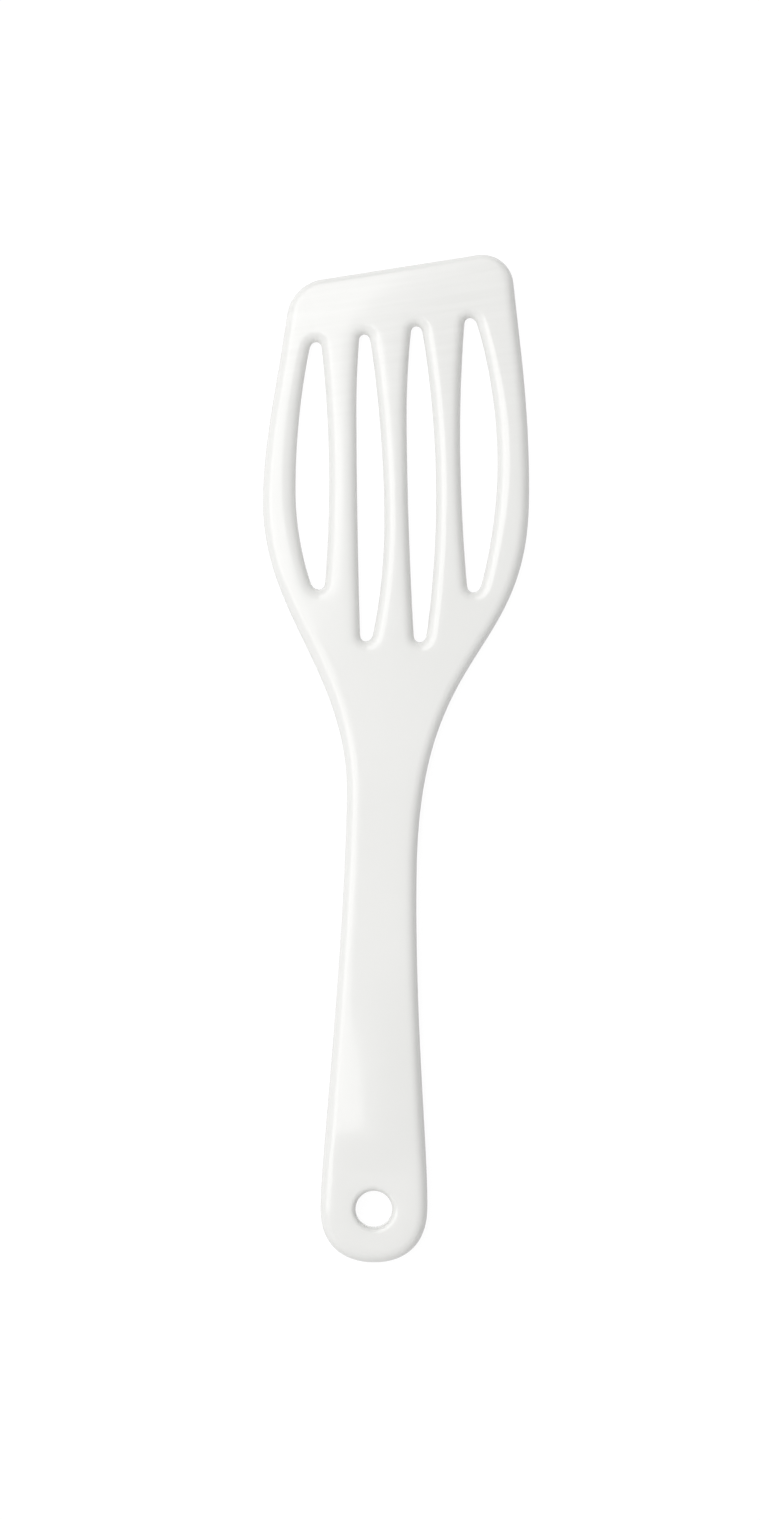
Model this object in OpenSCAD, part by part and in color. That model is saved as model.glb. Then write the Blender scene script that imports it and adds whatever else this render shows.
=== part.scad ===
// Slotted kitchen turner, moulded in one piece.
// It lies on its back: +Y runs from the hanging end to the tip, and +Z is up, out of the
// face that carries the food. Stations are distances from the end of the handle.

/* [Overall] */
// Length from the end of the handle to the highest corner of the tip
overall_len = 290; // [280:1:305]
// Width of the blade at its widest
blade_w = 76.5; // [72:0.5:84]
// How far the middle of the blade lies right of the handle's axis
blade_shift = 2.8; // [0:0.1:5]
// How deep the underside is hollowed below the neck
relief_depth = 1.5; // [0:0.1:2.5]
// Station where that hollow starts
relief_from_at = 60; // [40:1:80]
// Station where that hollow ends
relief_to_at = 186; // [160:1:200]

/* [Handle] */
// Width of the grip near the hanging end
grip_w = 30.7; // [28:0.1:36]
// Station of the grip's widest place
grip_at = 15.6; // [14:0.1:20]
// Width of the neck
neck_w = 20.4; // [18:0.1:24]
// How far the middle of the neck lies right of the axis
neck_shift = 0.4; // [0:0.1:1.5]
// Station of the neck on the right side
neck_right_at = 113.5; // [105:0.5:122]
// Station of the neck on the left side
neck_left_at = 133.5; // [122:0.5:140]
// Thickness of the handle at the hanging end
handle_t = 7.4; // [6.6:0.1:8.5]
// How much the grip's top swells above the rest of the handle
grip_rise = 0.7; // [0:0.1:1.5]
// Fall of the grip's top from its middle to its edges
grip_crown = 0.9; // [0:0.1:1.8]
// Station where the grip is thickest
swell_at = 38; // [34:0.5:44]
// Station where the swelling has run out
swell_end_at = 95; // [75:1:105]

/* [Hanging hole] */
// Diameter of the hole
hang_d = 10.5; // [7:0.1:12]
// Station of the hole's centre
hang_at = 15.3; // [14.5:0.1:19]
// Radius of the rounded rim of the hole, above and below
hang_rim = 1.8; // [0.6:0.1:2.2]

/* [Blade] */
// Station of the blade's widest place
widest_at = 219; // [208:1:228]
// How far below the tip's highest corner the blade's sides become straight
side_back = 28; // [24:1:34]
// How far the right side has drawn in at that place
right_in = 3; // [1.5:0.1:5]
// How far the left side has drawn in at that place
left_in = 4.7; // [3:0.1:6.5]
// Lean of the straight part of the right side, in degrees
right_lean_angle = 7.4; // [4:0.1:10]
// Lean of the straight part of the left side, in degrees
left_lean_angle = 7.7; // [4:0.1:10]
// Slant of the tip edge, in degrees
tip_slant_angle = 9.9; // [6:0.1:13]
// Radius of the tip's left corner
left_corner_r = 12; // [8:0.5:15]
// Radius of the tip's right corner
right_corner_r = 9; // [7:0.5:12]
// Thickness of the blade between its slots
blade_t = 5; // [4:0.1:6]
// Thickness of the lip at the tip edge
lip_t = 1.6; // [1:0.1:2.4]
// How far back from the tip edge the lip thins
lip_len = 16; // [12:1:40]
// Fall of the blade's top from its middle to its sides
blade_crown = 1.4; // [0:0.1:1.7]

/* [Slots] */
// Solid web between the tip edge and the slots
tip_web = 17.6; // [15:0.1:24]
// Station of the feet of the two outer slots
outer_foot_at = 192.8; // [188:0.1:200]
// Station of the feet of the two inner slots
inner_foot_at = 178.2; // [174:0.1:188]
// Radius of a slot's end near the tip
slot_tip_r = 1.3; // [1:0.1:2]
// Radius of a slot's foot
slot_foot_r = 1.5; // [1.2:0.1:2.2]
// Bow of each slot's left edge, from left to right
left_bows = [5, 1, 1.7, 1.8]; // [0:0.1:6]
// Bow of each slot's right edge, from left to right
right_bows = [1.9, 4.1, 3.8, 6.1]; // [0:0.1:7]

/* [Edges] */
// Width of the rounding over the outer edge
edge_round = 3.2; // [2.4:0.1:4]
// Width of the rounding over the tip edge
tip_round = 1.5; // [1:0.1:2.4]
// How far back from the tip edge that rounding reaches its full width
tip_round_len = 7; // [5:0.5:17]
// Width of the rounding over each slot's edge
slot_round = 3.2; // [1.5:0.1:3.5]
// Width of that rounding on the outer sides of the outer slots, where the limbs are domed
limb_round = 4.1; // [2:0.1:4.5]
// Depth of those roundings
round_depth = 2.6; // [1:0.1:3.4]
// Width of the rounding under every edge
under_round = 1.8; // [1:0.1:2.4]

/* [Hidden] */

// Overrun of a cut past the face that it leaves
overrun = 2;
// How far the arc of the hole's rim stands over the face, to meet it in a clear line
rim_over = 0.02;
// Least flat left between two roundings that face each other
least_flat = 0.4;

// Deepest that a rounding over an edge may go, as a share of the thickness there
round_depth_share = 0.66;
// Power of those roundings: 2 gives a quarter of an ellipse, and more a softer run onto the flat
round_power_share = 1.9;
// Pulls of the outline's curves, at their start and end, as shares of each curve's own run
end_pull_shares = [0.6, 0.66];
right_taper_shares = [0.17, 0.44];
left_taper_shares = [0.13, 0.38];
right_flare_shares = [0.61, 0.43];
left_flare_shares = [0.42, 0.39];
side_pull_shares = [0.37, 0.26];
// Places of the slots' ends, as shares of half the blade's width from its middle
slot_tip_shares = [-0.62, -0.26, 0.13, 0.53];
slot_foot_shares = [-0.567, -0.209, 0.196, 0.592];
// Where each slot's edges bow most, as shares of the slot's length from its foot
left_peak_shares = [0.39, 0.75, 0.69, 0.53];
right_peak_shares = [0.5, 0.4, 0.5, 0.5];
// Power of the bows: 1 gives a sine, and less a blunter bow
bow_power_share = 0.8;
// Side of each slot on which it meets an outer limb: -1 left, 1 right, 0 neither
limb_ways = [-1, 0, 0, 1];
// Where the handle's thickness starts and ends its change to the blade's, on the length
thinning_shares = [0.4, 0.8];
// Places of the points across the handle, between its two roundings
cross_shares = [0.2, 0.4, 0.6, 0.8];
// Places of the rows across the lip, from the rounding of the tip edge to the slots
lip_row_shares = [0.18, 0.42];
// Least and greatest place along the slots' line that a point of those rows stands over
lip_foot_shares = [0.04, 0.96];

// Steps along each stretch of the outline, along each slot, and over and under each edge
end_steps = 10;
taper_steps = 12;
flare_steps = 16;
side_steps = 6;
straight_steps = 4;
corner_steps = 7;
tip_steps = 7;
slot_side_steps = 14;
slot_end_steps = 3;
over_steps = 5;
under_steps = 3;
bore_steps = 96;

// Plane geometry
function unit(v) = v / norm(v);
function eased(u) = let (v = max(0, min(1, u))) v * v * (3 - 2 * v);
function bezier(a, b, c, d, steps) =
    [for (i = [0 : steps - 1]) let (u = i / steps, v = 1 - u)
        v * v * v * a + 3 * u * v * v * b + 3 * u * u * v * c + u * u * u * d];
function arc(centre, r, from, to, steps) =
    [for (i = [0 : steps]) let (a = from + (to - from) * i / steps) centre + r * [cos(a), sin(a)]];
function between(from, to, steps) = [for (i = [1 : steps - 1]) from + (to - from) * i / steps];
function meet(p, way, q, other) =
    let (gap = q - p)
    p + way * (gap.x * other.y - gap.y * other.x) / (way.x * other.y - way.y * other.x);
// Unit normal into the material, which lies left of the direction of travel
function inward(loop, i) =
    let (
        n = len(loop),
        way = unit(loop[(i + 1) % n] - loop[i]) + unit(loop[i] - loop[(i + n - 1) % n]))
    unit([-way.y, way.x]);

// Outline, anticlockwise from the end of the handle
grip = [grip_w / 2, grip_at];
right_neck = [neck_shift + neck_w / 2, neck_right_at];
left_neck = [neck_shift - neck_w / 2, neck_left_at];
right_wide = [blade_shift + blade_w / 2, widest_at];
left_wide = [blade_shift - blade_w / 2, widest_at];
side_at = overall_len - side_back;
right_side = [right_wide.x - right_in, side_at];
left_side = [left_wide.x + left_in, side_at];

right_way = [-sin(right_lean_angle), cos(right_lean_angle)];
left_way = [sin(left_lean_angle), cos(left_lean_angle)];
right_out = [cos(right_lean_angle), sin(right_lean_angle)];
left_out = [-cos(left_lean_angle), sin(left_lean_angle)];
tip_way = [cos(tip_slant_angle), sin(tip_slant_angle)];
tip_out = [-sin(tip_slant_angle), cos(tip_slant_angle)];

right_corner = meet(
    right_side - right_corner_r * right_out, right_way,
    [0, overall_len - right_corner_r], [1, 0]);
tip_start = right_corner + right_corner_r * tip_out;
left_corner = meet(
    tip_start - left_corner_r * tip_out, tip_way,
    left_side - left_corner_r * left_out, left_way);
tip_end = left_corner + left_corner_r * tip_out;

function end_curve(grip) =
    bezier(
        [0, 0], [end_pull_shares[0] * grip.x, 0],
        [grip.x, (1 - end_pull_shares[1]) * grip.y], grip, end_steps);
function upright_curve(from, to, pull_shares, steps) =
    let (run = to.y - from.y)
    bezier(from, from + [0, pull_shares[0] * run], to - [0, pull_shares[1] * run], to, steps);
function side_curve(wide, side, way) =
    let (run = side.y - wide.y)
    bezier(
        wide, wide + [0, side_pull_shares[0] * run],
        side - side_pull_shares[1] * run * way, side, side_steps);

right_edge = concat(
    end_curve(grip),
    upright_curve(grip, right_neck, right_taper_shares, taper_steps),
    upright_curve(right_neck, right_wide, right_flare_shares, flare_steps),
    side_curve(right_wide, right_side, right_way),
    [right_side]);
left_edge = concat(
    end_curve([-grip.x, grip.y]),
    upright_curve([-grip.x, grip.y], left_neck, left_taper_shares, taper_steps),
    upright_curve(left_neck, left_wide, left_flare_shares, flare_steps),
    side_curve(left_wide, left_side, left_way),
    [left_side]);
tip_edge = concat(
    between(right_side, right_corner + right_corner_r * right_out, straight_steps),
    arc(right_corner, right_corner_r, right_lean_angle, 90 + tip_slant_angle, corner_steps),
    between(tip_start, tip_end, tip_steps),
    arc(left_corner, left_corner_r, 90 + tip_slant_angle, 180 - left_lean_angle, corner_steps),
    between(left_corner + left_corner_r * left_out, left_side, straight_steps));
outline = concat(right_edge, tip_edge, [for (i = [len(left_edge) - 1 : -1 : 1]) left_edge[i]]);
outline_count = len(outline);
shoulder = len(right_edge) - 1;

// Slots, each clockwise from the end of its foot
function below_tip(p) = (tip_start - p) * tip_out;
function slot_tip(i) =
    let (x = blade_shift + slot_tip_shares[i] * blade_w / 2)
    meet(tip_start - tip_web * tip_out, tip_way, [x, 0], [0, 1]);
function slot_foot(i) =
    let (x = blade_shift + slot_foot_shares[i] * blade_w / 2)
    [x, i == 0 || i == 3 ? outer_foot_at : inner_foot_at];
function slot_stations(run) = concat(
    [for (k = [0 : slot_end_steps - 1]) slot_foot_r * (1 - cos(90 * k / slot_end_steps))],
    [for (k = [0 : slot_side_steps])
        slot_foot_r + (run - slot_foot_r - slot_tip_r) * (1 - cos(180 * k / slot_side_steps)) / 2],
    [for (k = [slot_end_steps - 1 : -1 : 0]) run - slot_tip_r * (1 - cos(90 * k / slot_end_steps))]);
function capped(s, r) = s < r ? sqrt(1 - pow(1 - s / r, 2)) : 1;
function bowed(u, peak_share) =
    pow(sin(90 * (u < peak_share ? u / peak_share : (1 - u) / (1 - peak_share))), bow_power_share);
function slot_half(s, run, bow, peak_share) =
    let (u = s / run)
    (slot_foot_r + (slot_tip_r - slot_foot_r) * u + bow * bowed(u, peak_share))
    * capped(s, slot_foot_r) * capped(run - s, slot_tip_r);
function slot_loop(i) =
    let (
        foot = slot_foot(i), tip = slot_tip(i), run = norm(tip - foot),
        up = unit(tip - foot), right = [up.y, -up.x],
        stations = slot_stations(run), last = len(stations) - 1)
    concat(
        [for (s = stations) foot + s * up - slot_half(s, run, left_bows[i], left_peak_shares[i]) * right],
        [for (k = [last - 1 : -1 : 1]) let (s = stations[k])
            foot + s * up + slot_half(s, run, right_bows[i], right_peak_shares[i]) * right]);
slots = [for (i = [0 : 3]) slot_loop(i)];
slot_count = len(slots[0]);
slot_top = slot_count / 2;

// Widths of the roundings, limited by the ribs and rims that carry them
rib_least = min([for (i = [0 : 2]) for (p = slots[i]) for (q = slots[i + 1]) norm(p - q)]);
rim_least = min([for (p = concat(slots[0], slots[3])) for (q = outline) norm(p - q)]);
slot_band = min(slot_round, (rib_least - least_flat) / 2);
edge_band = min(edge_round, rim_least - slot_band - least_flat);
limb_band = max(slot_band, min(limb_round, rim_least - edge_band - least_flat));
under_band = min(under_round, slot_band, edge_band);

// Heights of the underside, of the top and of the parting line between their roundings
hole_flat_to = hang_at + hang_d / 2 + 2 * hang_rim;
thin_from = thinning_shares[0] * overall_len;
thin_to = thinning_shares[1] * overall_len;
function under_height(p) =
    let (u = max(0, min(1, (p.y - relief_from_at) / (relief_to_at - relief_from_at))))
    relief_depth * pow(sin(180 * u), 2);
function grip_swell(y) =
    eased((y - hole_flat_to) / (swell_at - hole_flat_to))
    * (1 - eased((y - swell_at) / (swell_end_at - swell_at)));
function top_height(p) =
    let (
        spread = eased((p.y - thin_from) / (thin_to - thin_from)),
        body = handle_t + (blade_t - handle_t) * spread,
        grip_lift = grip_swell(p.y) * (grip_rise - grip_crown * pow(p.x / grip.x, 2)),
        blade_fall = blade_crown * spread * pow((p.x - blade_shift) / (blade_w / 2), 2),
        thinning = pow(1 - max(0, min(1, below_tip(p) / lip_len)), 2))
    lip_t + (body + grip_lift - blade_fall - lip_t) * (1 - thinning);
function parting_height(p) =
    let (top = top_height(p))
    top - min(round_depth, round_depth_share * (top - under_height(p)));

// Width of a rounding at each point of its edge: along the tip edge it is narrower
function bands(loop, full, at_tip) =
    let (least = min(full, at_tip))
    [for (p = loop) least + (full - least) * eased(below_tip(p) / tip_round_len)];
// The outer slots' roundings widen towards the middle of each limb
function limb_share(i, p) =
    let (foot = slot_foot(i), run = slot_tip(i) - foot, step = p - foot)
    limb_ways[i] * (step.x * run.y - step.y * run.x) > 0
        ? pow(sin(180 * max(0, min(1, step * run / (run * run)))), 2) : 0;
function slot_bands(i) =
    let (plain = bands(slots[i], slot_band, tip_round))
    [for (k = [0 : slot_count - 1])
        plain[k] + (limb_band - slot_band) * limb_share(i, slots[i][k])];

// One rounded edge: loops of points from the flat of the top, over the edge, to the underside
function edge_loops(loop, over) =
    let (
        n = len(loop),
        ways = [for (i = [0 : n - 1]) inward(loop, i)],
        under = bands(loop, under_band, (1 - round_depth_share) * lip_t))
    concat(
        [for (j = [over_steps : -1 : 0]) let (left = cos(90 * j / over_steps)) for (i = [0 : n - 1])
            let (p = loop[i] + over[i] * (1 - left) * ways[i], parting = parting_height(p))
            [p.x, p.y, parting + (top_height(p) - parting) * sqrt(1 - pow(left, round_power_share))]],
        [for (j = [1 : under_steps]) let (a = 90 * j / under_steps) for (i = [0 : n - 1])
            let (p = loop[i] + under[i] * (1 - cos(a)) * ways[i], bottom = under_height(p))
            [p.x, p.y, bottom + (parting_height(p) - bottom) * (1 - sin(a))]]);
function loop_faces(start, n) =
    [for (j = [0 : loops - 2]) for (i = [0 : n - 1])
        let (a = start + j * n + i, b = start + j * n + (i + 1) % n)
        each [[a, b, b + n], [a, b + n, a + n]]];

loops = over_steps + under_steps + 1;
edge_points = edge_loops(outline, bands(outline, edge_band, tip_round));
slot_edge_points = [for (i = [0 : 3]) edge_loops(slots[i], slot_bands(i))];
slot_starts = [for (i = [0 : 3]) loops * (outline_count + i * slot_count)];
cross_start = loops * (outline_count + 4 * slot_count);

// The palm is the last row that crosses the handle below the slots, at the heel the outline
// has come level with the feet of the outer slots, and at each temple with their tips
palm_limit = inner_foot_at - 2 * slot_band;
palm = max([for (k = [1 : shoulder]) if (max(right_edge[k].y, left_edge[k].y) < palm_limit) k]);
heel = min([for (k = [1 : shoulder]) if (min(right_edge[k].y, left_edge[k].y) > outer_foot_at) k]);
brow_from = shoulder + straight_steps;
left_temple = max([for (k = [shoulder : brow_from])
    if (k == shoulder || outline[outline_count - k].y < slots[0][slot_top - slot_end_steps].y) k]);
right_temple = max([for (k = [shoulder : brow_from])
    if (k == shoulder || outline[k].y < slots[3][slot_top + slot_end_steps].y) k]);

cross_count = len(cross_shares);
function cross_point(k, share, layer) =
    let (
        loop_start = layer * (loops - 1) * outline_count,
        left = edge_points[loop_start + outline_count - k], right = edge_points[loop_start + k],
        p = left + (right - left) * share)
    [p.x, p.y, layer == 0 ? top_height(p) : under_height(p)];
cross_points =
    [for (layer = [0, 1]) for (k = [1 : palm]) for (share = cross_shares) cross_point(k, share, layer)];

// Rows across the lip: each point stands between the tip's rounding and the line of the slots
lip_edges = [for (k = [outline_count - brow_from - 1 : -1 : brow_from + 1]) k];
lip_row_count = len(lip_edges);
lip_start = cross_start + len(cross_points);
function lip_point(k, share, layer) =
    let (
        loop_start = layer * (loops - 1),
        slot_loop_start = loop_start * slot_count,
        left = slot_edge_points[0][slot_loop_start + slot_top - slot_end_steps],
        right = slot_edge_points[3][slot_loop_start + slot_top + slot_end_steps],
        start = edge_points[loop_start * outline_count + k],
        run = right - left,
        along = (start - left) * run / (run * run),
        foot = left + run * max(lip_foot_shares[0], min(lip_foot_shares[1], along)),
        p = start + (foot - start) * share)
    [p.x, p.y, layer == 0 ? top_height(p) : under_height(p)];
lip_points =
    [for (layer = [0, 1]) for (share = lip_row_shares) for (k = lip_edges) lip_point(k, share, layer)];
points = concat(edge_points, [for (s = slot_edge_points) each s], cross_points, lip_points);

// Faces between the loops: layer 0 is the top and layer 1 the underside
function edge_at(k, layer) = layer * (loops - 1) * outline_count + (k + outline_count) % outline_count;
function slot_at(i, k, layer) =
    slot_starts[i] + layer * (loops - 1) * slot_count + (k + slot_count) % slot_count;
function cross_row(k, layer) = concat(
    [edge_at(-k, layer)],
    [for (c = [0 : cross_count - 1]) cross_start + (layer * palm + k - 1) * cross_count + c],
    [edge_at(k, layer)]);
// Triangles between two rows of points: first runs along the left of second
function nearer(first, second, i, j) =
    i < len(first) - 1 && (j == len(second) - 1
        || norm(points[first[i + 1]] - points[second[j]])
            < norm(points[first[i]] - points[second[j + 1]]));
function zipped(first, second) =
    [for (i = 0, j = 0, ahead = nearer(first, second, 0, 0);
        i < len(first) - 1 || j < len(second) - 1;
        moved = ahead, i = moved ? i + 1 : i, j = moved ? j : j + 1,
            ahead = nearer(first, second, i, j))
        ahead ? [first[i], first[i + 1], second[j]] : [first[i], second[j + 1], second[j]]];
function layer_faces(layer) =
    let (
        side = [for (k = [slot_end_steps : slot_top - slot_end_steps]) k],
        left_rim = [for (k = [heel : left_temple]) edge_at(-k, layer)],
        right_rim = [for (k = [heel : right_temple]) edge_at(k, layer)],
        bowl = concat(
            [for (k = [heel : -1 : palm + 1]) edge_at(-k, layer)],
            cross_row(palm, layer),
            [for (k = [palm + 1 : heel]) edge_at(k, layer)]),
        feet = [for (i = [0 : 3]) for (k = [slot_end_steps : -1 : -slot_end_steps]) slot_at(i, k, layer)],
        tips = [for (i = [0 : 3]) for (k = [-slot_end_steps : slot_end_steps])
            slot_at(i, slot_top + k, layer)],
        lip_rows = concat(
            [[for (k = [outline_count - left_temple : -1 : right_temple]) edge_at(k, layer)]],
            [for (r = [0 : len(lip_row_shares) - 1]) [for (i = [0 : lip_row_count - 1])
                lip_start + (layer * len(lip_row_shares) + r) * lip_row_count + i]]),
        last_row = len(lip_rows) - 1)
    concat(
        zipped(cross_row(1, layer), [edge_at(0, layer)]),
        [for (k = [1 : palm - 1]) each zipped(cross_row(k + 1, layer), cross_row(k, layer))],
        zipped(feet, bowl),
        zipped(left_rim, [for (k = side) slot_at(0, k, layer)]),
        [for (i = [0 : 2]) each zipped(
            [for (k = side) slot_at(i, -k, layer)], [for (k = side) slot_at(i + 1, k, layer)])],
        zipped([for (k = side) slot_at(3, -k, layer)], right_rim),
        [for (r = [0 : last_row - 1]) each zipped(
            lip_rows[r], concat([tips[0]], lip_rows[r + 1], [tips[len(tips) - 1]]))],
        zipped(lip_rows[last_row], tips));
faces = concat(
    loop_faces(0, outline_count),
    [for (s = slot_starts) each loop_faces(s, slot_count)],
    layer_faces(0),
    [for (f = layer_faces(1)) [f[0], f[2], f[1]]]);

// The origin is under the middle of the turner's own box
box_low = [min([for (p = outline) p.x]), min([for (p = outline) p.y])];
box_high = [max([for (p = outline) p.x]), max([for (p = outline) p.y])];
middle = (box_low + box_high) / 2;

// What the rounded rim takes off, with the face at zero height
module rim_cut() {
    rim_r = hang_d / 2 + hang_rim;
    rotate_extrude($fn = bore_steps)
        difference() {
            translate([0, rim_over - hang_rim]) square([rim_r, hang_rim + overrun]);
            translate([rim_r, rim_over - hang_rim]) circle(hang_rim);
        }
}

module hanging_hole() {
    translate([0, hang_at, 0]) {
        translate([0, 0, -overrun]) cylinder(d = hang_d, h = handle_t + 2 * overrun, $fn = bore_steps);
        translate([0, 0, handle_t]) rim_cut();
        mirror([0, 0, 1]) rim_cut();
    }
}

module turner() {
    color([0.95, 0.95, 0.94])
        translate([-middle.x, -middle.y, 0])
            difference() {
                polyhedron(points, faces);
                hanging_hole();
            }
}

turner();
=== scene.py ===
import math

import bpy
import numpy as np
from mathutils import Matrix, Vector, geometry


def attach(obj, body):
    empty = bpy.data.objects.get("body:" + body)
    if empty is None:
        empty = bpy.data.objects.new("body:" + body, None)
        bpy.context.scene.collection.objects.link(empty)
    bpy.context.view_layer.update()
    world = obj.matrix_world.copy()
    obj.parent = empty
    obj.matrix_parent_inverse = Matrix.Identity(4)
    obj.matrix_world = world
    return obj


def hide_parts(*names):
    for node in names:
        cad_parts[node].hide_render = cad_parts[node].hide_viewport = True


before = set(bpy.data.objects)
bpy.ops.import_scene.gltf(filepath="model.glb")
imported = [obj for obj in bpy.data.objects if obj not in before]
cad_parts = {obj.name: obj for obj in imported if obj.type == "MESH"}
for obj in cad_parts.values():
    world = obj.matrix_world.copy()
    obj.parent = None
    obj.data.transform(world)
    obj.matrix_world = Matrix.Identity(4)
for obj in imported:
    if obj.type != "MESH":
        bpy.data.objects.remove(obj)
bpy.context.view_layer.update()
print("frame loaded")

mm = 0.001

# Plan of the turner, in metres. Stations run from the end of the handle to the tip
plan = {
    "length": 290 * mm,
    "bladeWidth": 76.5 * mm,
    "bladeShift": 2.8 * mm,  # how far the blade's middle lies to the right of the grip's
    "gripWidth": 30.7 * mm,
    "gripAt": 15.6 * mm,
    "neckWidth": 20.4 * mm,
    "neckShift": 0.4 * mm,
    "rightNeckAt": 113.5 * mm,
    "leftNeckAt": 133.5 * mm,
    "widestAt": 219 * mm,
    "sideAt": 262 * mm,  # where the sides become straight
    "rightIn": 3 * mm,  # how far a side has drawn in by there
    "leftIn": 4.7 * mm,
    "rightLean": math.radians(7.4),
    "leftLean": math.radians(7.7),
    "tipSlant": math.radians(9.9),
    "leftCorner": 12 * mm,
    "rightCorner": 9 * mm,
    "endPulls": (0.6, 0.66),  # how far a curve keeps its direction at its start and its end, as shares
    "rightTaperPulls": (0.17, 0.44),
    "leftTaperPulls": (0.13, 0.38),
    "rightFlarePulls": (0.61, 0.43),
    "leftFlarePulls": (0.42, 0.39),
    "sidePulls": (0.37, 0.26),
    "curveSteps": 80,
}


def bezier(a, b, c, d, steps):
    points = []
    for i in range(steps):
        u = i / steps
        v = 1 - u
        points.append(a * v**3 + b * (3 * u * v * v) + c * (3 * u * u * v) + d * u**3)
    return points


def arc(centre, radius, start, end, steps):
    turns = [start + (end - start) * i / steps for i in range(steps + 1)]
    return [centre + radius * Vector((math.cos(a), math.sin(a))) for a in turns]


def meet(p, way, q, other):
    gap = q - p
    return p + way * (gap.x * other.y - gap.y * other.x) / (way.x * other.y - way.y * other.x)


def uprightCurve(start, end, pulls, steps):
    run = end.y - start.y
    leave = start + Vector((0, pulls[0] * run))
    arrive = end - Vector((0, pulls[1] * run))
    return bezier(start, leave, arrive, end, steps)


# One side of the outline, from the end of the handle to where the side becomes straight
def sideOutline(name, sign):
    steps = plan["curveSteps"]
    grip = Vector((sign * plan["gripWidth"] / 2, plan["gripAt"]))
    neck = Vector((plan["neckShift"] + sign * plan["neckWidth"] / 2, plan[name + "NeckAt"]))
    wide = Vector((plan["bladeShift"] + sign * plan["bladeWidth"] / 2, plan["widestAt"]))
    side = Vector((wide.x - sign * plan[name + "In"], plan["sideAt"]))
    lean = plan[name + "Lean"]
    way = Vector((-sign * math.sin(lean), math.cos(lean)))
    endPull, gripPull = plan["endPulls"]
    leaveEnd = Vector((endPull * grip.x, 0))
    arriveGrip = Vector((grip.x, (1 - gripPull) * grip.y))
    widePull, sidePull = plan["sidePulls"]
    run = side.y - wide.y
    leaveWide = wide + Vector((0, widePull * run))
    arriveSide = side - sidePull * run * way
    points = bezier(Vector((0, 0)), leaveEnd, arriveGrip, grip, steps)
    points += uprightCurve(grip, neck, plan[name + "TaperPulls"], steps)
    points += uprightCurve(neck, wide, plan[name + "FlarePulls"], steps)
    points += bezier(wide, leaveWide, arriveSide, side, steps)
    return points + [side], way


# The whole outline, anticlockwise from the end of the handle
def outlineLoop():
    right, rightWay = sideOutline("right", 1)
    left, leftWay = sideOutline("left", -1)
    rightOut = Vector((rightWay.y, -rightWay.x))
    leftOut = Vector((-leftWay.y, leftWay.x))
    tipWay = Vector((math.cos(plan["tipSlant"]), math.sin(plan["tipSlant"])))
    tipOut = Vector((-tipWay.y, tipWay.x))
    rightCorner = meet(
        right[-1] - plan["rightCorner"] * rightOut,
        rightWay,
        Vector((0, plan["length"] - plan["rightCorner"])),
        Vector((1, 0)),
    )
    tipStart = rightCorner + plan["rightCorner"] * tipOut
    leftCorner = meet(
        tipStart - plan["leftCorner"] * tipOut, tipWay, left[-1] - plan["leftCorner"] * leftOut, leftWay
    )
    steps = plan["curveSteps"] // 2
    tipTurn = math.pi / 2 + plan["tipSlant"]
    tip = arc(rightCorner, plan["rightCorner"], plan["rightLean"], tipTurn, steps)
    tip += arc(leftCorner, plan["leftCorner"], tipTurn, math.pi - plan["leftLean"], steps)
    return right + tip + left[:0:-1], tipStart, tipWay


# The four slots from left to right. Places are shares of half the blade's width
slotPlan = {
    "tipWeb": 17.6 * mm,  # from the tip edge to the slots
    "footAt": (192.8 * mm, 178.2 * mm, 178.2 * mm, 192.8 * mm),
    "tipRadius": 1.3 * mm,
    "footRadius": 1.5 * mm,
    "tipPlaces": (-0.62, -0.26, 0.13, 0.53),
    "footPlaces": (-0.567, -0.209, 0.196, 0.592),
    "leftBows": (5 * mm, 1 * mm, 1.7 * mm, 1.8 * mm),  # how far a side bows out
    "rightBows": (1.9 * mm, 4.1 * mm, 3.8 * mm, 6.1 * mm),
    "leftPeaks": (0.39, 0.75, 0.69, 0.53),  # where it does so most, from foot to tip
    "rightPeaks": (0.5, 0.4, 0.5, 0.5),
    "bowPower": 0.8,
    "limbWays": (-1, 0, 0, 1),  # on which side of a slot an outer limb of the blade lies
    "steps": 240,
}


# Share of its full width that a slot has at s from a round end
def capped(s, radius):
    return math.sqrt(1 - (1 - s / radius) ** 2) if s < radius else 1


# Share of its bow that a side has, from 0 at both ends to 1 at the peak
def bowed(share, peak):
    rise = share / peak if share < peak else (1 - share) / (1 - peak)
    return math.sin(math.pi / 2 * max(0, rise)) ** slotPlan["bowPower"]


def slotEnds(i, tipStart, tipWay):
    half = plan["bladeWidth"] / 2
    tipOut = Vector((-tipWay.y, tipWay.x))
    foot = Vector((plan["bladeShift"] + slotPlan["footPlaces"][i] * half, slotPlan["footAt"][i]))
    tip = meet(
        tipStart - slotPlan["tipWeb"] * tipOut,
        tipWay,
        Vector((plan["bladeShift"] + slotPlan["tipPlaces"][i] * half, 0)),
        Vector((0, 1)),
    )
    return foot, tip


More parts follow.
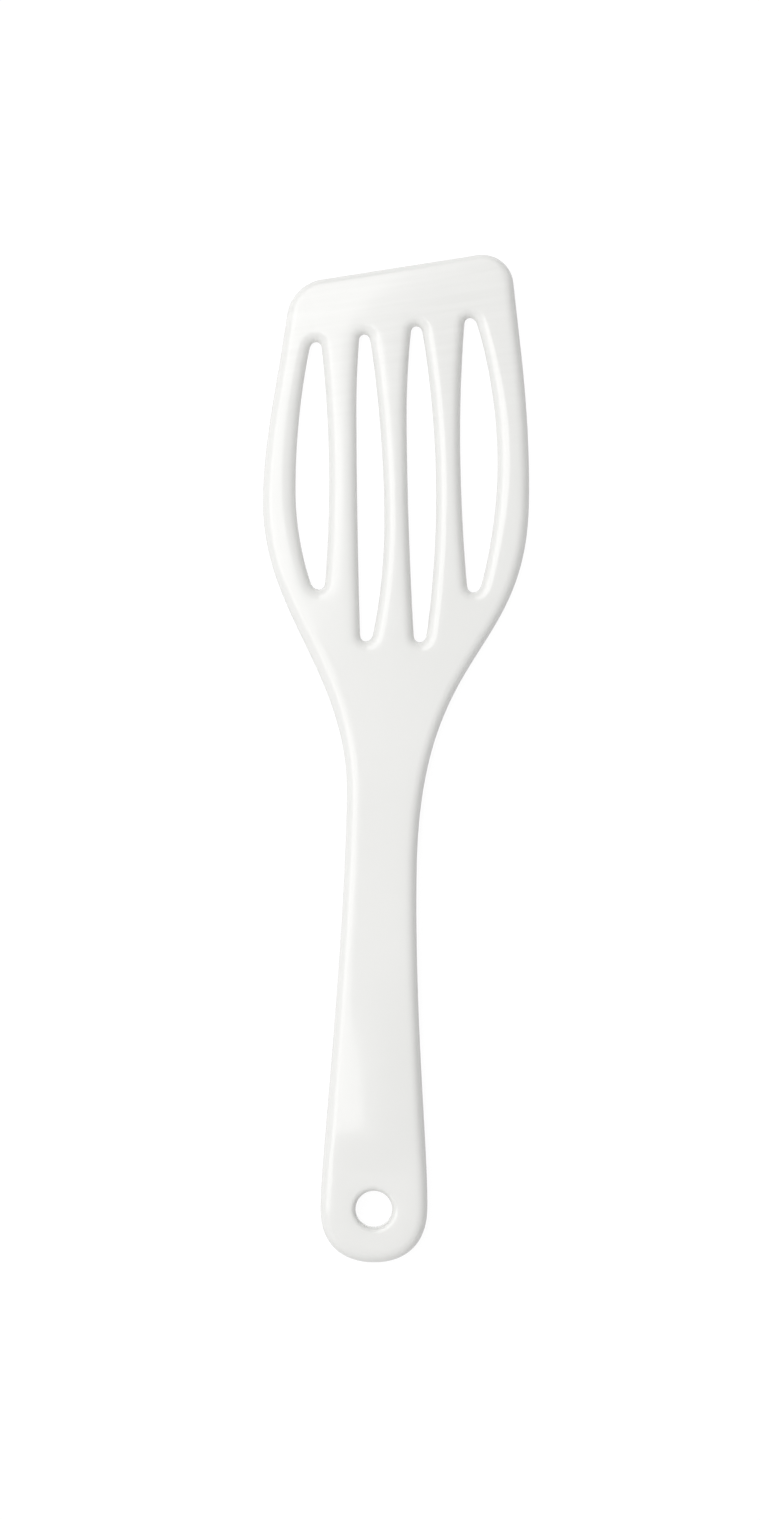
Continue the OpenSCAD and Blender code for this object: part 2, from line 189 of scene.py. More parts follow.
# One slot, clockwise from the end of its foot
def slotLoop(i, tipStart, tipWay):
    foot, tip = slotEnds(i, tipStart, tipWay)
    run = (tip - foot).length
    up = (tip - foot).normalized()
    right = Vector((up.y, -up.x))
    footRadius, tipRadius = slotPlan["footRadius"], slotPlan["tipRadius"]

    def halfWidth(s, bow, peak):
        plain = footRadius + (tipRadius - footRadius) * s / run
        return (plain + bow * bowed(s / run, peak)) * capped(s, footRadius) * capped(run - s, tipRadius)

    steps = slotPlan["steps"]
    stations = [run * (1 - math.cos(math.pi * k / steps)) / 2 for k in range(steps + 1)]
    leftBow, leftPeak = slotPlan["leftBows"][i], slotPlan["leftPeaks"][i]
    rightBow, rightPeak = slotPlan["rightBows"][i], slotPlan["rightPeaks"][i]
    leftSide = [foot + s * up - halfWidth(s, leftBow, leftPeak) * right for s in stations]
    rightSide = [foot + s * up + halfWidth(s, rightBow, rightPeak) * right for s in stations]
    return leftSide + rightSide[-2:0:-1]


# The same loop with its points an even distance apart
def evenLoop(points, spacing):
    ring = np.array([tuple(p) for p in points] + [tuple(points[0])])
    along = np.concatenate(([0], np.cumsum(np.linalg.norm(np.diff(ring, axis=0), axis=1))))
    stations = np.linspace(0, along[-1], int(round(along[-1] / spacing)), endpoint=False)
    return np.stack([np.interp(stations, along, ring[:, k]) for k in (0, 1)], axis=1)


# Unit normals into the material, which lies left of the direction of travel
def inwardWays(loop):
    way = np.roll(loop, -1, axis=0) - np.roll(loop, 1, axis=0)
    way /= np.linalg.norm(way, axis=1)[:, None]
    return np.stack([-way[:, 1], way[:, 0]], axis=1)


def inside(points, loop):
    x, y = points[:, 0][:, None], points[:, 1][:, None]
    ax, ay = loop[:, 0], loop[:, 1]
    bx, by = np.roll(ax, -1), np.roll(ay, -1)
    with np.errstate(divide="ignore", invalid="ignore"):
        crossing = ((ay > y) != (by > y)) & (x < (bx - ax) * (y - ay) / (by - ay) + ax)
    return crossing.sum(axis=1) % 2 == 1


# How the edges round over, and how finely the skin is drawn
edgePlan = {
    "outerRound": 3.2 * mm,
    "slotRound": 3.2 * mm,
    "limbRound": 4.1 * mm,
    "tipRound": 1.5 * mm,
    "tipRoundLength": 7 * mm,  # over which the roundings narrow towards the tip edge
    "underRound": 1.8 * mm,
    "underTipRound": 0.54 * mm,
    "spacing": 0.9 * mm,
    "fillSpacing": 1.6 * mm,
    "fillClear": 0.7,  # how near the fill comes to the rings, as a share of its spacing
    "overRings": 12,
    "underRings": 7,
    "mergeWithin": 1e-7,
    "leastTriangle": 1e-9,  # twice the area below which a triangle is left out
}


# Width of a rounding at each point of its edge: along the tip edge it is narrower
def bandsAlong(loop, full, atTip, tipStart, tipWay):
    tipOut = np.array((-tipWay.y, tipWay.x))
    below = (np.array(tuple(tipStart)) - loop) @ tipOut
    share = np.clip(below / edgePlan["tipRoundLength"], 0, 1)
    return atTip + (full - atTip) * share * share * (3 - 2 * share)


# Extra width of the outer slots' roundings, on the sides that face the blade's two limbs
def limbWidths(i, loop, tipStart, tipWay):
    foot, tip = slotEnds(i, tipStart, tipWay)
    up = (tip - foot).normalized()
    step = loop - np.array(tuple(foot))
    along = np.clip(step @ np.array(tuple(up)) / (tip - foot).length, 0, 1)
    outward = slotPlan["limbWays"][i] * (step @ np.array((up.y, -up.x)))
    extra = edgePlan["limbRound"] - edgePlan["slotRound"]
    return np.where(outward > 0, extra * np.sin(math.pi * along) ** 2, 0)


# Rings that step in from an edge, closer together where the section turns fastest
def edgeRings(loop, bands, rings):
    ways = inwardWays(loop)
    reaches = [1 - math.cos(math.pi / 2 * j / rings) for j in range(rings + 1)]
    return [(loop + reach * bands[:, None] * ways, reach) for reach in reaches]


# Points of an even lattice that stand clear of the inner rings
def latticePoints(outer, inner, spacing):
    low, high = outer.min(axis=0), outer.max(axis=0)
    rowGap = spacing * math.sqrt(3) / 2
    rows = []
    for j in range(int((high[1] - low[1]) / rowGap) + 1):
        xs = np.arange(low[0] + (j % 2) * spacing / 2, high[0], spacing)
        rows.append(np.stack([xs, np.full(len(xs), low[1] + j * rowGap)], axis=1))
    points = np.concatenate(rows)
    keep = inside(points, outer)
    for loop in inner:
        keep &= ~inside(points, loop)
    points = points[keep]
    border = np.concatenate([outer] + inner)
    least = edgePlan["fillClear"] * spacing
    clear = [np.linalg.norm(border - p, axis=1).min() > least for p in points]
    return points[np.array(clear)]


# A flat plan of one face: rings along every edge, and small triangles between them
def facePlan(edges, rings, kind):
    points, reaches, rims, faces, inner = [], [], [], [], []
    starts = []
    count = 0
    for edge in edges:
        loop = edge["loop"]
        n = len(loop)
        starts.append(count)
        for ring, reach in edgeRings(loop, edge[kind + "Bands"], rings):
            points.append(ring)
            reaches += [reach] * n
            rims += [edge["rim"]] * n
        for j in range(rings):
            for i in range(n):
                a, b = count + j * n + i, count + j * n + (i + 1) % n
                faces.append((a, b, b + n, a + n))
        inner.append((count + rings * n, n))
        count += (rings + 1) * n
    points = np.concatenate(points)
    loops = [points[start : start + n] for start, n in inner]
    fill = latticePoints(loops[0], loops[1:], edgePlan["fillSpacing"])
    border = np.concatenate([np.arange(start, start + n) for start, n in inner])
    flat = np.concatenate([points[border], fill])
    links = []
    first = 0
    for start, n in inner:
        links += [(first + i, first + (i + 1) % n) for i in range(n)]
        first += n
    spots = [Vector(p) for p in flat]
    made = geometry.delaunay_2d_cdt(spots, links, [], 0, edgePlan["mergeWithin"], True)
    old = np.array([sources[0] for sources in made[3]])
    triangles = old[np.array(made[2])]
    corners = flat[triangles]
    middles = corners.mean(axis=1)
    along, across = corners[:, 1] - corners[:, 0], corners[:, 2] - corners[:, 0]
    keep = inside(middles, loops[0])
    keep &= np.abs(along[:, 0] * across[:, 1] - along[:, 1] * across[:, 0]) > edgePlan["leastTriangle"]
    for loop in loops[1:]:
        keep &= ~inside(middles, loop)
    names = np.concatenate([border, count + np.arange(len(fill))])
    faces += [tuple(int(k) for k in face) for face in names[triangles[keep]]]
    points = np.concatenate([points, fill])
    reaches += [1] * len(fill)
    rims += [0] * len(fill)
    return points, reaches, rims, faces, starts


hangingHole = {"at": 15.3 * mm, "radius": 5.25 * mm, "rim": 1.8 * mm, "steps": 120}


# Both faces as one flat mesh, joined at the parting line and down the hole's wall
def turnerPlanMesh():
    outline, tipStart, tipWay = outlineLoop()

    def rounded(points, full):
        loop = evenLoop(points, edgePlan["spacing"])
        over = bandsAlong(loop, full, edgePlan["tipRound"], tipStart, tipWay)
        under = bandsAlong(loop, edgePlan["underRound"], edgePlan["underTipRound"], tipStart, tipWay)
        return {"loop": loop, "overBands": over, "underBands": under, "rim": 0}

    edges = [rounded(outline, edgePlan["outerRound"])]
    for i in range(len(slotPlan["footAt"])):
        edge = rounded(slotLoop(i, tipStart, tipWay), edgePlan["slotRound"])
        edge["overBands"] = edge["overBands"] + limbWidths(i, edge["loop"], tipStart, tipWay)
        edges.append(edge)
    holeAt = Vector((0, hangingHole["at"]))
    circle = arc(holeAt, hangingHole["radius"], 2 * math.pi, 0, hangingHole["steps"])
    hole = np.array([tuple(p) for p in circle[:-1]])
    rims = np.full(len(hole), hangingHole["rim"])
    edges.append({"loop": hole, "overBands": rims, "underBands": rims, "rim": 1})
    over = facePlan(edges, edgePlan["overRings"], "over")
    under = facePlan(edges, edgePlan["underRings"], "under")
    shift = len(over[0])
    faces = list(over[3]) + [tuple(k + shift for k in face[::-1]) for face in under[3]]
    n = len(hole)
    top, low = over[4][-1], under[4][-1] + shift
    faces += [(top + (i + 1) % n, top + i, low + i, low + (i + 1) % n) for i in range(n)]
    points = np.concatenate([over[0], under[0]])
    reaches = np.array(over[1] + under[1])
    rims = np.array(over[2] + under[2])
    layers = np.concatenate([np.ones(shift), np.zeros(len(under[0]))])
    merged = np.arange(len(points))
    for edge, a, b in zip(edges[:-1], over[4], under[4]):
        for i in range(len(edge["loop"])):
            merged[b + shift + i] = a + i
    used = np.unique(merged)
    place = np.full(len(points), -1)
    place[used] = np.arange(len(used))
    faces = [tuple(int(place[merged[k]]) for k in face) for face in faces]
    mesh = bpy.data.meshes.new("turnerPlan")
    mesh.from_pydata([(x, y, 0) for x, y in points[used]], [], faces)
    for name, values in (("reach", reaches), ("rim", rims), ("layer", layers)):
        mesh.attributes.new(name, "FLOAT", "POINT").data.foreach_set("value", values[used].astype("f"))
    low, high = edges[0]["loop"].min(axis=0), edges[0]["loop"].max(axis=0)
    return mesh, (low + high) / 2, tipStart, tipWay


# Links a socket to another one, or sets it to a plain value
def feed(tree, socket, source):
    if isinstance(source, bpy.types.NodeSocket):
        tree.links.new(source, socket)
    else:
        socket.default_value = source


# A quick way to lay math nodes: every call adds one node and gives its output
def mathsIn(tree):
    def maths(operation, *values):
        node = tree.nodes.new("ShaderNodeMath")
        node.operation = operation
        for socket, value in zip(node.inputs, values):
            feed(tree, socket, value)
        return node.outputs[0]

    return maths


def vectorMaths(tree, operation, first, second):
    node = tree.nodes.new("ShaderNodeVectorMath")
    node.operation = operation
    tree.links.new(first, node.inputs[0])
    tree.links.new(second, node.inputs[1])
    return node.outputs


def mapRange(tree, value, start, end, low, high, curve="LINEAR"):
    node = tree.nodes.new("ShaderNodeMapRange")
    node.interpolation_type = curve
    names = ("Value", "From Min", "From Max", "To Min", "To Max")
    for name, source in zip(names, (value, start, end, low, high)):
        feed(tree, node.inputs[name], source)
    return node.outputs["Result"]


def named(tree, name):
    node = tree.nodes.new("GeometryNodeInputNamedAttribute")
    node.data_type = "FLOAT"
    node.inputs["Name"].default_value = name
    return node.outputs["Attribute"]


# Heights of the section, which the node tree works out
section = {
    "Handle Thickness": 7.4 * mm,
    "Blade Thickness": 5 * mm,
    "Lip Thickness": 1.6 * mm,
    "Lip Length": 16 * mm,
    "Thin From": 0.4 * plan["length"],
    "Thin To": 0.8 * plan["length"],
    "Grip Rise": 0.7 * mm,
    "Grip Crown": 0.9 * mm,  # how much lower the grip's edges lie than its middle
    "Swell At": 38 * mm,  # where the grip is highest
    "Swell End": 95 * mm,
    "Blade Crown": 1.4 * mm,
    "Relief Depth": 1.5 * mm,  # of the hollow along the underside
    "Relief From": 60 * mm,
    "Relief To": 186 * mm,
    "Round Depth": 2.6 * mm,
    "Round Depth Share": 0.66,  # of the thickness, at most
    "Round Power": 1.9,  # a true round has 2
}


# The tree lifts the flat plan to its section: thickness, swell, crowns, lip and round edges
def sectionTree(material):
    tree = bpy.data.node_groups.new("turnerSection", "GeometryNodeTree")
    tree.is_modifier = True
    tree.interface.new_socket("Geometry", in_out="INPUT", socket_type="NodeSocketGeometry")
    for name in section:
        tree.interface.new_socket(name, in_out="INPUT", socket_type="NodeSocketFloat")
    for name in ("Grip Half", "Blade Half", "Blade Shift", "Hole Flat To", "Rim Radius"):
        tree.interface.new_socket(name, in_out="INPUT", socket_type="NodeSocketFloat")
    for name in ("Tip Point", "Tip Normal", "Middle"):
        tree.interface.new_socket(name, in_out="INPUT", socket_type="NodeSocketVector")
    tree.interface.new_socket("Geometry", in_out="OUTPUT", socket_type="NodeSocketGeometry")
    start = tree.nodes.new("NodeGroupInput").outputs
    end = tree.nodes.new("NodeGroupOutput")
    maths = mathsIn(tree)

    position = tree.nodes.new("GeometryNodeInputPosition").outputs[0]
    split = tree.nodes.new("ShaderNodeSeparateXYZ")
    tree.links.new(position, split.inputs[0])
    x, y = split.outputs["X"], split.outputs["Y"]

    # Height of the top along the handle and blade, with the grip's swell and both crowns
    spread = mapRange(tree, y, start["Thin From"], start["Thin To"], 0, 1, "SMOOTHSTEP")
    body = mapRange(tree, spread, 0, 1, start["Handle Thickness"], start["Blade Thickness"])
    rise = mapRange(tree, y, start["Hole Flat To"], start["Swell At"], 0, 1, "SMOOTHSTEP")
    ease = mapRange(tree, y, start["Swell At"], start["Swell End"], 1, 0, "SMOOTHSTEP")
    across = maths("DIVIDE", x, start["Grip Half"])
    gripFall = maths("MULTIPLY", start["Grip Crown"], maths("MULTIPLY", across, across))
    swell = maths("MULTIPLY", rise, ease)
    gripLift = maths("MULTIPLY", swell, maths("SUBTRACT", start["Grip Rise"], gripFall))
    offset = maths("DIVIDE", maths("SUBTRACT", x, start["Blade Shift"]), start["Blade Half"])
    bladeCrown = maths("MULTIPLY", start["Blade Crown"], spread)
    bladeFall = maths("MULTIPLY", bladeCrown, maths("MULTIPLY", offset, offset))
    full = maths("SUBTRACT", maths("ADD", body, gripLift), bladeFall)

    # The lip thins towards the tip edge
    away = vectorMaths(tree, "SUBTRACT", start["Tip Point"], position)
    below = vectorMaths(tree, "DOT_PRODUCT", away["Vector"], start["Tip Normal"])
    nearTip = mapRange(tree, below["Value"], 0, start["Lip Length"], 1, 0)
    thinning = maths("MULTIPLY", nearTip, nearTip)
    top = mapRange(tree, thinning, 0, 1, full, start["Lip Thickness"])

    # The underside is hollowed below the neck
    along = mapRange(tree, y, start["Relief From"], start["Relief To"], 0, math.pi)
    bottom = maths("MULTIPLY", start["Relief Depth"], maths("POWER", maths("SINE", along), 2))

    # Roundings over and under each edge, which meet at the parting line
    reach, rim, layer = named(tree, "reach"), named(tree, "rim"), named(tree, "layer")
    thickness = maths("SUBTRACT", top, bottom)
    mostDepth = maths("MULTIPLY", thickness, start["Round Depth Share"])
    edgeDepth = maths("MINIMUM", start["Round Depth"], mostDepth)
    overDepth = mapRange(tree, rim, 0, 1, edgeDepth, start["Rim Radius"])
    underDepth = mapRange(tree, rim, 0, 1, maths("SUBTRACT", thickness, edgeDepth), start["Rim Radius"])
    power = mapRange(tree, rim, 0, 1, start["Round Power"], 2)
    short = maths("SUBTRACT", 1, reach)
    overRise = maths("SQRT", maths("SUBTRACT", 1, maths("POWER", short, power)))
    underRise = maths("SQRT", maths("SUBTRACT", 1, maths("MULTIPLY", short, short)))
    over = maths("SUBTRACT", top, maths("MULTIPLY", overDepth, maths("SUBTRACT", 1, overRise)))
    under = maths("ADD", bottom, maths("MULTIPLY", underDepth, maths("SUBTRACT", 1, underRise)))
    height = mapRange(tree, layer, 0, 1, under, over)

    lift = tree.nodes.new("ShaderNodeCombineXYZ")
    tree.links.new(height, lift.inputs["Z"])
    centred = vectorMaths(tree, "SUBTRACT", lift.outputs[0], start["Middle"])
    setPosition = tree.nodes.new("GeometryNodeSetPosition")
    tree.links.new(start["Geometry"], setPosition.inputs["Geometry"])
    tree.links.new(centred["Vector"], setPosition.inputs["Offset"])
    smooth = tree.nodes.new("GeometryNodeSetShadeSmooth")
    tree.links.new(setPosition.outputs[0], smooth.inputs["Geometry"])
    realize = tree.nodes.new("GeometryNodeRealizeInstances")
    tree.links.new(smooth.outputs[0], realize.inputs[0])
    setMaterial = tree.nodes.new("GeometryNodeSetMaterial")
    setMaterial.inputs["Material"].default_value = material
    tree.links.new(realize.outputs[0], setMaterial.inputs["Geometry"])
    tree.links.new(setMaterial.outputs[0], end.inputs[0])
    return tree


# Turns a node-built piece into a plain mesh
def settle(piece):
    graph = bpy.context.evaluated_depsgraph_get()
    mesh = bpy.data.meshes.new_from_object(piece.evaluated_get(graph))
    piece.modifiers.clear()
    piece.data = mesh
    mesh.name = piece.name
    for name in ("reach", "rim", "layer"):
        if name in mesh.attributes:
            mesh.attributes.remove(mesh.attributes[name])


def makeTurner(material):
    mesh, middle, tipStart, tipWay = turnerPlanMesh()
    turner = bpy.data.objects.new("turnerSkin", mesh)
    bpy.context.collection.objects.link(turner)
    values = dict(section)
    values["Grip Half"] = plan["gripWidth"] / 2
    values["Blade Half"] = plan["bladeWidth"] / 2
    values["Blade Shift"] = plan["bladeShift"]
    values["Hole Flat To"] = hangingHole["at"] + hangingHole["radius"] + 2 * hangingHole["rim"]
    values["Rim Radius"] = hangingHole["rim"]
    values["Tip Point"] = (tipStart.x, tipStart.y, 0)
    values["Tip Normal"] = (-tipWay.y, tipWay.x, 0)
    values["Middle"] = (middle[0], middle[1], 0)
    modifier = turner.modifiers.new("section", "NODES")
    modifier.node_group = sectionTree(material)
    for item in modifier.node_group.interface.items_tree:
        if item.in_out == "INPUT" and item.name in values:
            modifier[item.identifier] = values[item.name]
    settle(turner)
    return turner


# The middle of noise and of a mask made from it, and the noise at which such a mask starts and is full
noiseMiddle = 0.5
maskSpan = (0.3, 0.7)


# Soft cloudy mask that any material can use for its slow changes
def mottleGroup():
    group = bpy.data.node_groups.new("mottle", "ShaderNodeTree")
    group.interface.new_socket("Vector", in_out="INPUT", socket_type="NodeSocketVector")
    group.interface.new_socket("Scale", in_out="INPUT", socket_type="NodeSocketFloat")
    group.interface.new_socket("Detail", in_out="INPUT", socket_type="NodeSocketFloat")
    group.interface.new_socket("Mask", in_out="OUTPUT", socket_type="NodeSocketFloat")
    start = group.nodes.new("NodeGroupInput").outputs
    end = group.nodes.new("NodeGroupOutput")
    noise = group.nodes.new("ShaderNodeTexNoise")
    group.links.new(start["Vector"], noise.inputs["Vector"])
    group.links.new(start["Scale"], noise.inputs["Scale"])
    group.links.new(start["Detail"], noise.inputs["Detail"])
    mask = mapRange(group, noise.outputs["Fac"], *maskSpan, 0, 1, "SMOOTHSTEP")
    group.links.new(mask, end.inputs["Mask"])
    return group


def useMottle(tree, group, vector, scale, detail):
    node = tree.nodes.new("ShaderNodeGroup")
    node.node_tree = group
    tree.links.new(vector, node.inputs["Vector"])
    node.inputs["Scale"].default_value = scale
    node.inputs["Detail"].default_value = detail
    return node.outputs["Mask"]


hairline = {
    "detail": 3,
    "thinness": 0.02,  # how far from its middle the noise still draws a scratch
    "patchScale": 0.6,  # of the patches that scratches keep to
    "patchSpan": (0.5, 0.62),
}


# Fine lines that run one way. Broken is 1 for short scratches and 0 for an even polish
def hairlineGroup():
    group = bpy.data.node_groups.new("hairlines", "ShaderNodeTree")
    group.interface.new_socket("Vector", in_out="INPUT", socket_type="NodeSocketVector")
    for name in ("Turn", "Along", "Across", "Broken"):
        group.interface.new_socket(name, in_out="INPUT", socket_type="NodeSocketFloat")
    group.interface.new_socket("Lines", in_out="OUTPUT", socket_type="NodeSocketFloat")
    start = group.nodes.new("NodeGroupInput").outputs
    end = group.nodes.new("NodeGroupOutput")
    maths = mathsIn(group)
    turned = group.nodes.new("ShaderNodeVectorRotate")
    turned.rotation_type = "Z_AXIS"
    group.links.new(start["Vector"], turned.inputs["Vector"])
    group.links.new(start["Turn"], turned.inputs["Angle"])
    split = group.nodes.new("ShaderNodeSeparateXYZ")
    group.links.new(turned.outputs[0], split.inputs[0])
    stretched = group.nodes.new("ShaderNodeCombineXYZ")
    group.links.new(maths("MULTIPLY", split.outputs["X"], start["Along"]), stretched.inputs["X"])
    group.links.new(maths("MULTIPLY", split.outputs["Y"], start["Across"]), stretched.inputs["Y"])
    group.links.new(maths("MULTIPLY", split.outputs["Z"], start["Along"]), stretched.inputs["Z"])
    grain = group.nodes.new("ShaderNodeTexNoise")
    grain.inputs["Scale"].default_value = 1
    grain.inputs["Detail"].default_value = hairline["detail"]
    group.links.new(stretched.outputs[0], grain.inputs["Vector"])
    even = mapRange(group, grain.outputs["Fac"], *maskSpan, 0, 1)
    crease = maths("ABSOLUTE", maths("SUBTRACT", grain.outputs["Fac"], noiseMiddle))
    thin = mapRange(group, crease, 0, hairline["thinness"], 1, 0, "SMOOTHSTEP")
    patches = group.nodes.new("ShaderNodeTexNoise")
    patches.inputs["Scale"].default_value = hairline["patchScale"]
    group.links.new(stretched.outputs[0], patches.inputs["Vector"])
    shown = mapRange(group, patches.outputs["Fac"], *hairline["patchSpan"], 0, 1, "SMOOTHSTEP")
    scratches = maths("MULTIPLY", thin, shown)
    group.links.new(mapRange(group, start["Broken"], 0, 1, even, scratches), end.inputs["Lines"])
    return group


def useHairlines(tree, group, vector, turn, scales, broken):
    node = tree.nodes.new("ShaderNodeGroup")
    node.node_tree = group
    tree.links.new(vector, node.inputs["Vector"])
    for name, value in zip(("Turn", "Along", "Across", "Broken"), (turn, *scales, broken)):
        node.inputs[name].default_value = value
    return node.outputs["Lines"]


def mixColours(tree, mask, first, second):
    mix = tree.nodes.new("ShaderNodeMix")
    mix.data_type = "RGBA"
    tree.links.new(mask, mix.inputs["Factor"])
    mix.inputs["A"].default_value = first
    mix.inputs["B"].default_value = second
    return mix.outputs["Result"]


melamineLook = {
    "colour": (0.884, 0.884, 0.866, 1),
    "deepColour": (0.82, 0.82, 0.8, 1),
    "plainShade": 0.28,  # how far towards the deep colour the plain skin lies
    "cloudShade": 0.25,
    "cloudGrain": (25, 3),  # scale per metre, and detail
    "polishShade": 0.36,
    "ior": 1.5,
    "roughness": (0.08, 0.12),
    "smearGrain": (60, 5),
    "hairRoughness": 0.12,  # added along the hairlines
    "rippleScale": 90,
    "rippleHeight": 0.015 * mm,
    "polishScales": (35, 600),  # along and across the lines, per metre
    "polishHeight": 0.007 * mm,
    "polishFrom": 75 * mm,  # where the polish lines start, from the middle of the turner
    "polishTo": 120 * mm,  # where they are full
    "hairScales": (30, 420),
    "hairTurn": math.radians(78),
    "hairHeight": 0.0015 * mm,
}


def melamineMaterial(mottle, hairlines):
    look = melamineLook
    material = bpy.data.materials.new("melamine")
    material.use_nodes = True
    tree = material.node_tree
    maths = mathsIn(tree)
    shader = tree.nodes["Principled BSDF"]
    shader.inputs["IOR"].default_value = look["ior"]
    place = tree.nodes.new("ShaderNodeTexCoord").outputs["Object"]

    # Polish lines grow towards the tip and follow its edge
    split = tree.nodes.new("ShaderNodeSeparateXYZ")
    tree.links.new(place, split.inputs[0])
    start, full = look["polishFrom"], look["polishTo"]
    nearTip = mapRange(tree, split.outputs["Y"], start, full, 0, 1, "SMOOTHSTEP")
    lines = useHairlines(tree, hairlines, place, -plan["tipSlant"], look["polishScales"], 0)
    polish = maths("MULTIPLY", maths("SUBTRACT", lines, noiseMiddle), nearTip)

    cloud = useMottle(tree, mottle, place, *look["cloudGrain"])
    shade = maths("ADD", look["plainShade"], maths("MULTIPLY", cloud, look["cloudShade"]))
    shade = maths("ADD", shade, maths("MULTIPLY", polish, look["polishShade"]))
    skin = mixColours(tree, shade, look["colour"], look["deepColour"])
    tree.links.new(skin, shader.inputs["Base Color"])

    hairs = useHairlines(tree, hairlines, place, look["hairTurn"], look["hairScales"], 1)
    smear = useMottle(tree, mottle, place, *look["smearGrain"])
    smooth = mapRange(tree, smear, 0, 1, *look["roughness"])
    rough = maths("ADD", smooth, maths("MULTIPLY", hairs, look["hairRoughness"]))
    tree.links.new(rough, shader.inputs["Roughness"])

    ripple = tree.nodes.new("ShaderNodeTexNoise")
    tree.links.new(place, ripple.inputs["Vector"])
    ripple.inputs["Scale"].default_value = look["rippleScale"]
    height = maths("MULTIPLY", ripple.outputs["Fac"], look["rippleHeight"])
    height = maths("ADD", height, maths("MULTIPLY", polish, look["polishHeight"]))
    height = maths("SUBTRACT", height, maths("MULTIPLY", hairs, look["hairHeight"]))
    bump = tree.nodes.new("ShaderNodeBump")
    bump.inputs["Distance"].default_value = 1
    tree.links.new(height, bump.inputs["Height"])
    tree.links.new(bump.outputs["Normal"], shader.inputs["Normal"])
    return material


# The floor, the place, size and brightness of the lamps, and how the surroundings darken
studio = {
    "floorSize": 24.0,
    "floorDrop": 0.05 * mm,
    "floorColour": (0.72, 0.72, 0.72, 1),
    "floorGlow": 1.1,
    "floorGlowShare": 0.85,  # the rest of the floor stays plain and shows the shadow
    "boxAt": (-1.94, 1.54, 3.0),
    "boxTurn": math.radians(4.6),
    "boxSizes": ((3.26, 3.93), (3.67, 4.34)),  # the larger one softens the edge of the smaller
    "boxLevels": (2.1, 0.44),
    "boxGap": 0.02,
    "surroundColour": (1, 1, 1, 1),
    "surround": 0.7,
    "farLeft": 0.5,
    "farAhead": 0.32,
    "farRight": 0.0,
    "darkFrom": 0.606,  # how far to the right it starts to darken, where 1 is the horizon
    "darkTo": 0.873,
}


def floorMaterial():
    material = bpy.data.materials.new("floor")
    material.use_nodes = True
    tree = material.node_tree
    tree.nodes.clear()
    maths = mathsIn(tree)
    out = tree.nodes.new("ShaderNodeOutputMaterial")
    diffuse = tree.nodes.new("ShaderNodeBsdfDiffuse")
    diffuse.inputs["Color"].default_value = studio["floorColour"]
    glow = tree.nodes.new("ShaderNodeEmission")
    glow.inputs["Strength"].default_value = studio["floorGlow"]
    path = tree.nodes.new("ShaderNodeLightPath").outputs
    shiny = maths("MAXIMUM", path["Is Glossy Ray"], path["Is Transmission Ray"])
    seen = maths("MAXIMUM", path["Is Camera Ray"], shiny)
    mix = tree.nodes.new("ShaderNodeMixShader")
    tree.links.new(maths("MULTIPLY", seen, studio["floorGlowShare"]), mix.inputs[0])
    tree.links.new(diffuse.outputs[0], mix.inputs[1])
    tree.links.new(glow.outputs[0], mix.inputs[2])
    tree.links.new(mix.outputs[0], out.inputs["Surface"])
    return material


def makeFloor():
    half = studio["floorSize"] / 2
    z = -studio["floorDrop"]
    mesh = bpy.data.meshes.new("floor")
    corners = [(-half, -half, z), (half, -half, z), (half, half, z), (-half, half, z)]
    mesh.from_pydata(corners, [], [(0, 1, 2, 3)])
    floor = bpy.data.objects.new("floor", mesh)
    bpy.context.collection.objects.link(floor)
    mesh.materials.append(floorMaterial())


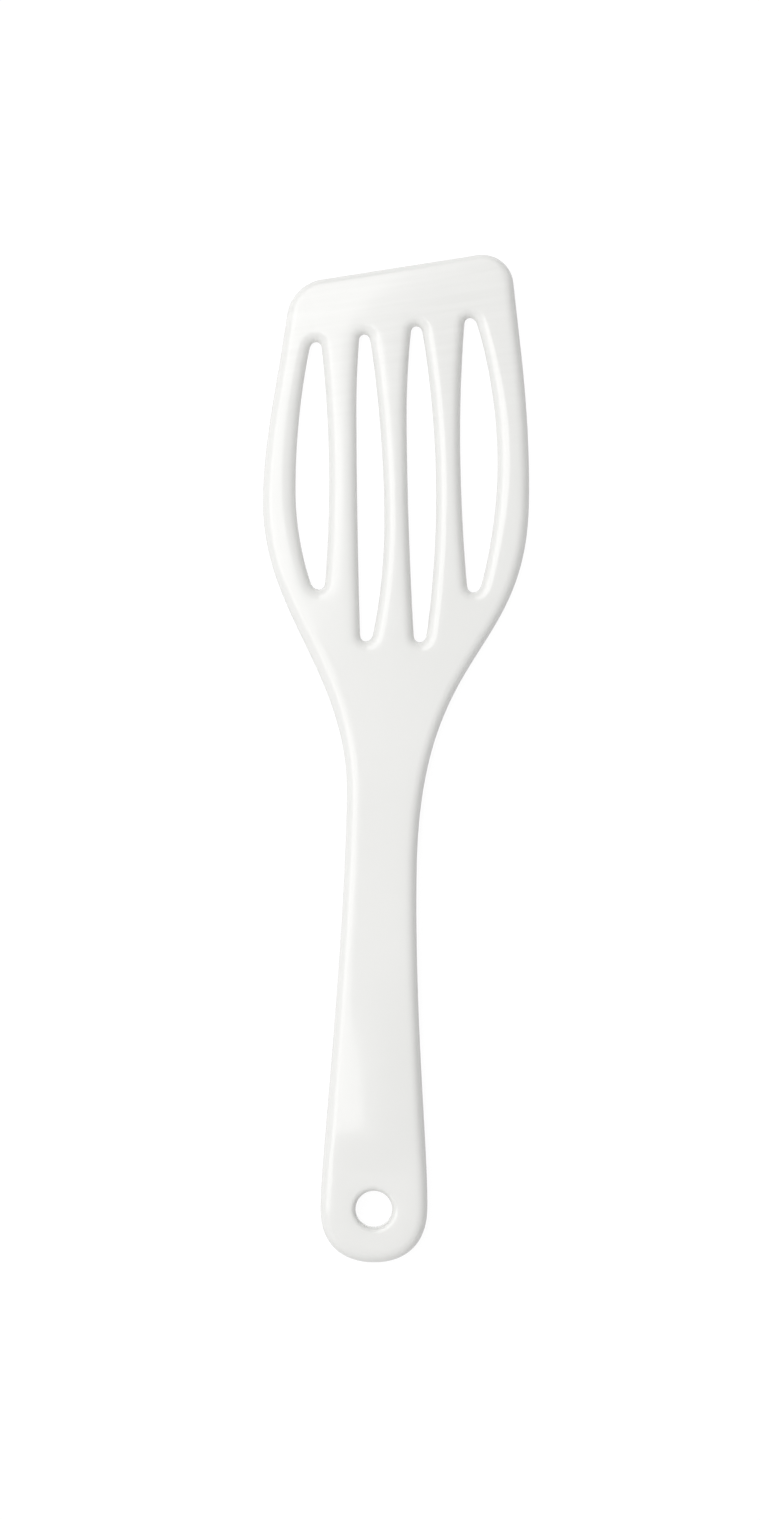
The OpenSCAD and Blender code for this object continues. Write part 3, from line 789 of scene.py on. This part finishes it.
def makeLamps():
    for i, (width, length) in enumerate(studio["boxSizes"]):
        data = bpy.data.lights.new("softbox", "AREA")
        data.shape = "RECTANGLE"
        data.size, data.size_y = width, length
        data.energy = studio["boxLevels"][i] * math.pi * width * length
        softbox = bpy.data.objects.new("softbox", data)
        bpy.context.collection.objects.link(softbox)
        softbox.location = Vector(studio["boxAt"]) + Vector((0, 0, i * studio["boxGap"]))
        softbox.rotation_euler = (0, 0, studio["boxTurn"])


def makeSurroundings():
    world = bpy.data.worlds.new("surround")
    bpy.context.scene.world = world
    world.use_nodes = True
    tree = world.node_tree
    maths = mathsIn(tree)
    way = tree.nodes.new("ShaderNodeTexCoord").outputs["Generated"]
    split = tree.nodes.new("ShaderNodeSeparateXYZ")
    tree.links.new(way, split.inputs[0])
    across, along = split.outputs["X"], split.outputs["Y"]
    plain = studio["surround"]
    left = mapRange(tree, across, -1, 0, studio["farLeft"], plain)
    right = mapRange(tree, across, studio["darkFrom"], studio["darkTo"], plain, studio["farRight"])
    ahead = mapRange(tree, along, 0, 1, plain, studio["farAhead"])
    darkest = maths("MINIMUM", maths("MINIMUM", left, right), ahead)
    background = tree.nodes["Background"]
    background.inputs["Color"].default_value = studio["surroundColour"]
    tree.links.new(darkest, background.inputs["Strength"])


# The photograph is taken from straight above, turned by one degree
photoView = {
    "centre": Vector((-3.3 * mm, -0.8 * mm)),
    "height": 436.5 * mm,  # how much of the plane at the subject's height it shows
    "away": 2.0,
    "roll": math.radians(1.0),
    "sensor": 36.0,
    "subjectHeight": 4 * mm,
}


def makeCamera():
    data = bpy.data.cameras.new("camera")
    data.sensor_width = photoView["sensor"]
    data.lens = photoView["sensor"] * photoView["away"] / photoView["height"]
    camera = bpy.data.objects.new("camera", data)
    bpy.context.collection.objects.link(camera)
    camera.location = (*photoView["centre"], photoView["away"] + photoView["subjectHeight"])
    camera.rotation_euler = (0, 0, photoView["roll"])
    bpy.context.scene.camera = camera


makeCamera()
melamine = melamineMaterial(mottleGroup(), hairlineGroup())
turner = makeTurner(melamine)
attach(turner, "root")
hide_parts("turner")
print("turner made", len(turner.data.vertices), "points", len(turner.data.polygons), "faces")

makeFloor()
makeLamps()
makeSurroundings()
bpy.context.scene.view_settings.view_transform = "Standard"
print("studio made")
